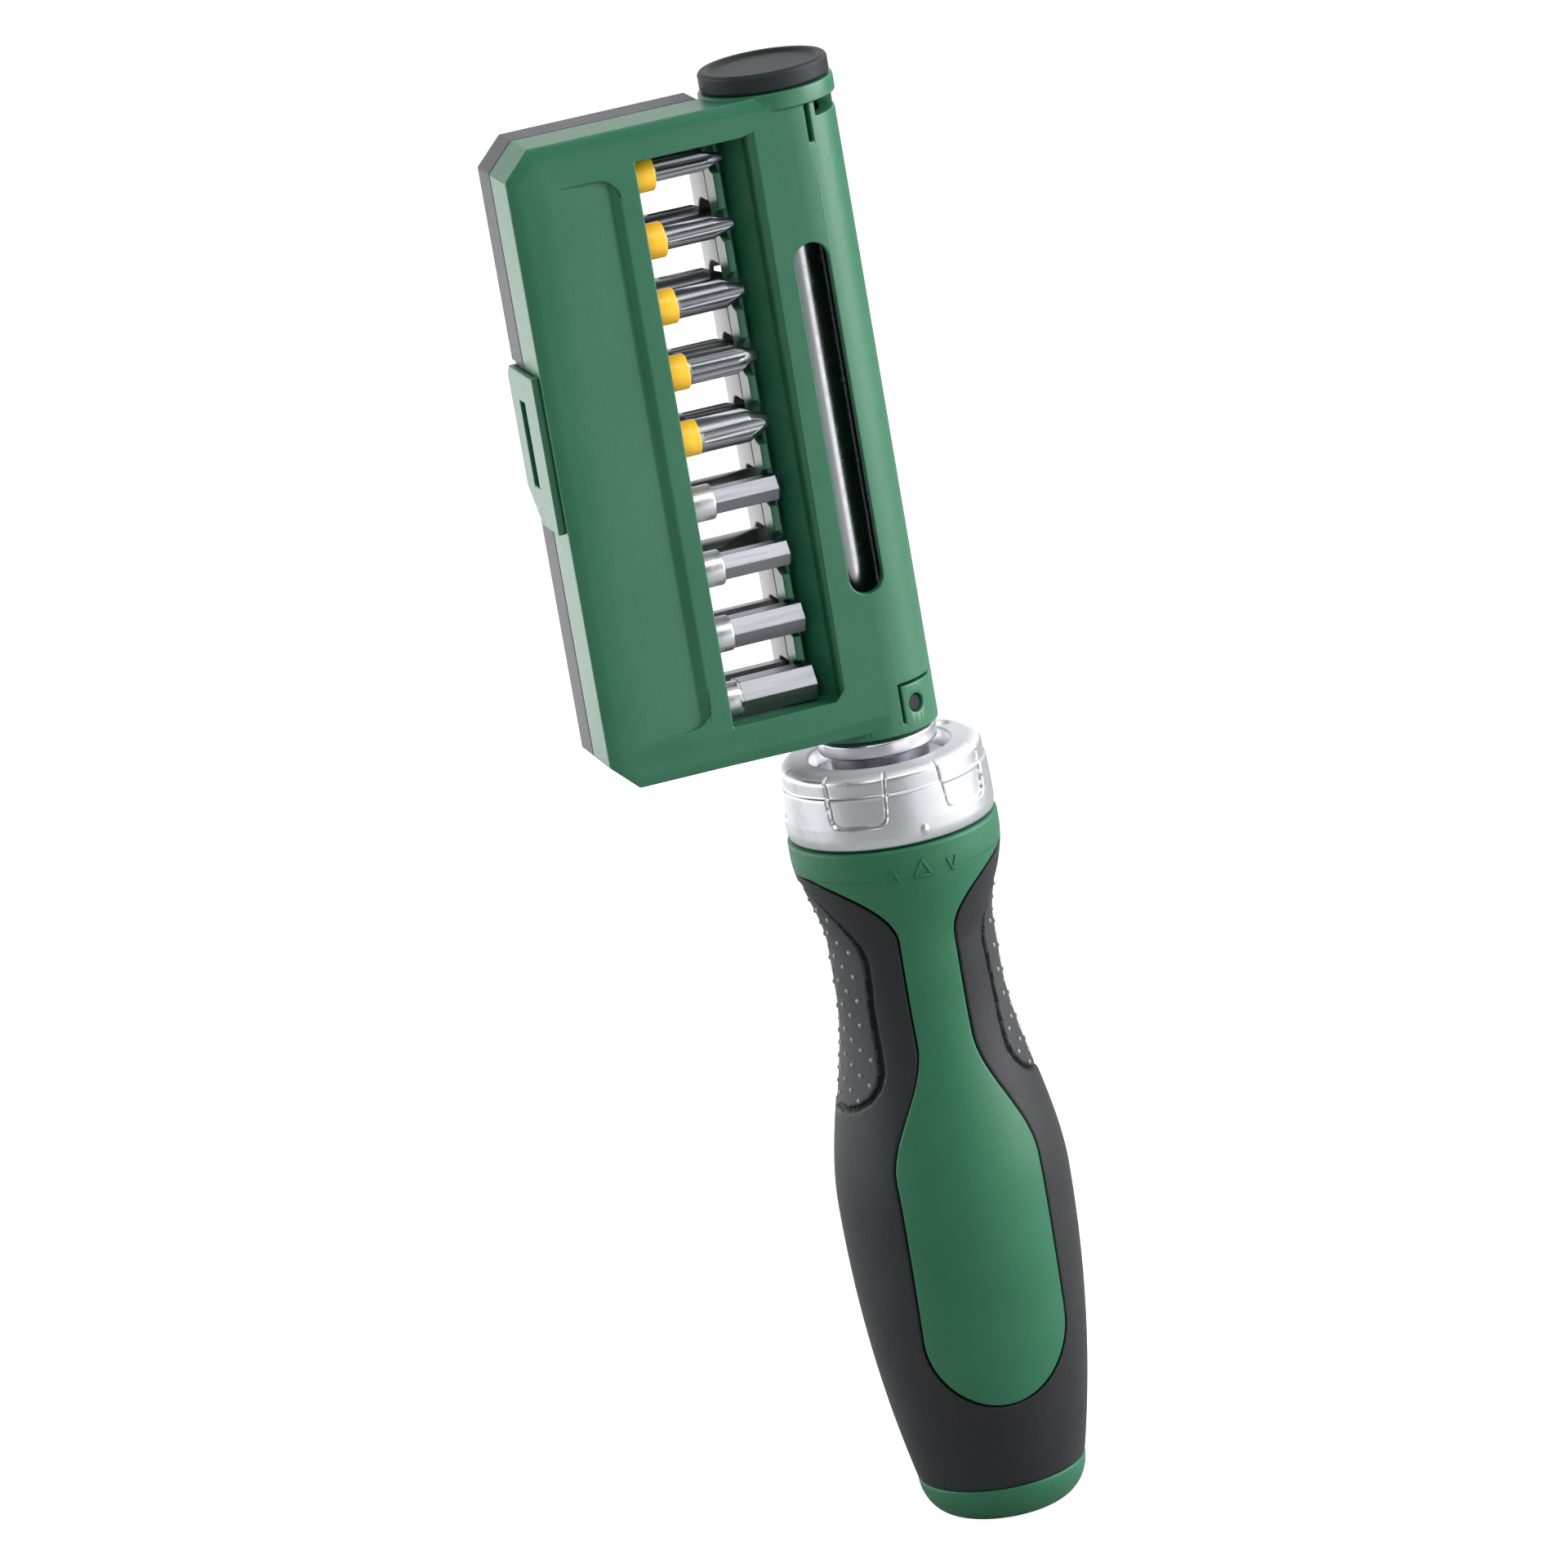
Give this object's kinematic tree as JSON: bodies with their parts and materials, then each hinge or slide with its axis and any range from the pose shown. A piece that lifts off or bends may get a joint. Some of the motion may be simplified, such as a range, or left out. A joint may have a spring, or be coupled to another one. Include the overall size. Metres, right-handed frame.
{
  "type": "ratcheting screwdriver",
  "caption": "Ratcheting screwdriver with a rubber grip, a turning selector collar and a flat bit case that slides off its spindle and opens at the back.",
  "frame": {"origin": "middle of the flat on the butt, where the screwdriver stands", "axes": "+Z along the spindle towards the bit end, -Y the front of the bit case, -X the way the case reaches out from the spindle"},
  "size_m": [0.0707, 0.0404, 0.2571],
  "materials": {
    "green_plastic": "satin moulded",
    "grip_rubber": "matte, finely textured",
    "black_rubber": "matte",
    "steel": "machined",
    "brass": "plain",
    "collar_metal": "satin",
    "chrome": "polished",
    "black_plastic": "satin moulded",
    "dark_plastic": "satin moulded",
    "bit_steel": "satin",
    "bit_steel_ringed": "satin, with a yellow ring"
  },
  "bodies": {
    "handle": {"handle_core": "green_plastic", "rubber_grip": "grip_rubber", "butt_cap": "green_plastic", "ratchet_housing": "steel", "bearing_bush": "brass", "collar_ring": "black_rubber", "pawl_pin_left": "steel", "pawl_pin_right": "steel", "cover_plate": "steel", "thrust_washer": "brass"},
    "selector": {"selector_collar": "collar_metal", "cam_ring": "steel"},
    "pawl_left_body": {"pawl_left": "steel", "pawl_spring_left": "steel"},
    "pawl_right_body": {"pawl_right": "steel", "pawl_spring_right": "steel"},
    "spindle_body": {"spindle": "chrome", "ratchet_gear": "steel", "ferrule": "chrome", "retaining_washer": "steel", "spindle_circlip": "steel", "socket_magnet": "steel", "socket_ring": "steel"},
    "case": {"case_front": "green_plastic", "lower_guide": "black_plastic", "upper_guide": "black_plastic", "end_plug": "black_plastic", "hinge_pin_top": "steel", "hinge_pin_bottom": "steel", "front_rack": "black_plastic", "front_bit_1": "bit_steel_ringed", "front_bit_2": "bit_steel_ringed", "front_bit_3": "bit_steel_ringed", "front_bit_4": "bit_steel_ringed", "front_bit_5": "bit_steel_ringed", "front_bit_6": "bit_steel", "front_bit_7": "bit_steel", "front_bit_8": "bit_steel", "front_bit_9": "bit_steel"},
    "back": {"case_back": "dark_plastic", "back_rack": "black_plastic", "back_bit_1": "bit_steel", "back_bit_2": "bit_steel", "back_bit_3": "bit_steel", "back_bit_4": "bit_steel", "back_bit_5": "bit_steel", "back_bit_6": "bit_steel", "back_bit_7": "bit_steel", "back_bit_8": "bit_steel", "back_bit_9": "bit_steel"},
    "latch": {"latch_tab": "green_plastic"}
  },
  "joints": [
    {"name": "spindle_turn", "type": "hinge", "parent": "handle", "child": "spindle_body", "pos_m": [0, 0, 0.13], "axis": [0, 0, 1], "continuous": true},
    {"name": "selector_turn", "type": "hinge", "parent": "handle", "child": "selector", "pos_m": [0, 0, 0.1305], "axis": [0, 0, 1], "range_deg": [-17, 17]},
    {"name": "pawl_right_swing", "type": "hinge", "parent": "handle", "child": "pawl_right_body", "pos_m": [0.00713, -0.00598, 0.1264], "axis": [0, 0, -1], "range_deg": [0, 8], "stiffness_Nm_per_rad": 0.02, "springref_deg": -11.46},
    {"name": "pawl_left_swing", "type": "hinge", "parent": "handle", "child": "pawl_left_body", "pos_m": [-0.00713, -0.00598, 0.1264], "axis": [0, 0, 1], "range_deg": [0, 8], "stiffness_Nm_per_rad": 0.02, "springref_deg": -11.46},
    {"name": "case_slide", "type": "slide", "parent": "spindle_body", "child": "case", "axis": [0, 0, 1], "range_m": [0, 0.1]},
    {"name": "back_open", "type": "hinge", "parent": "case", "child": "back", "pos_m": [0.0091, 0.0019, 0.197], "axis": [0, 0, -1], "range_deg": [0, 110]},
    {"name": "latch_flex", "type": "hinge", "parent": "case", "child": "latch", "pos_m": [-0.0492, -0.0091, 0.2016], "axis": [0, 0, 1], "range_deg": [0, 10], "stiffness_Nm_per_rad": 0.3}
  ]
}
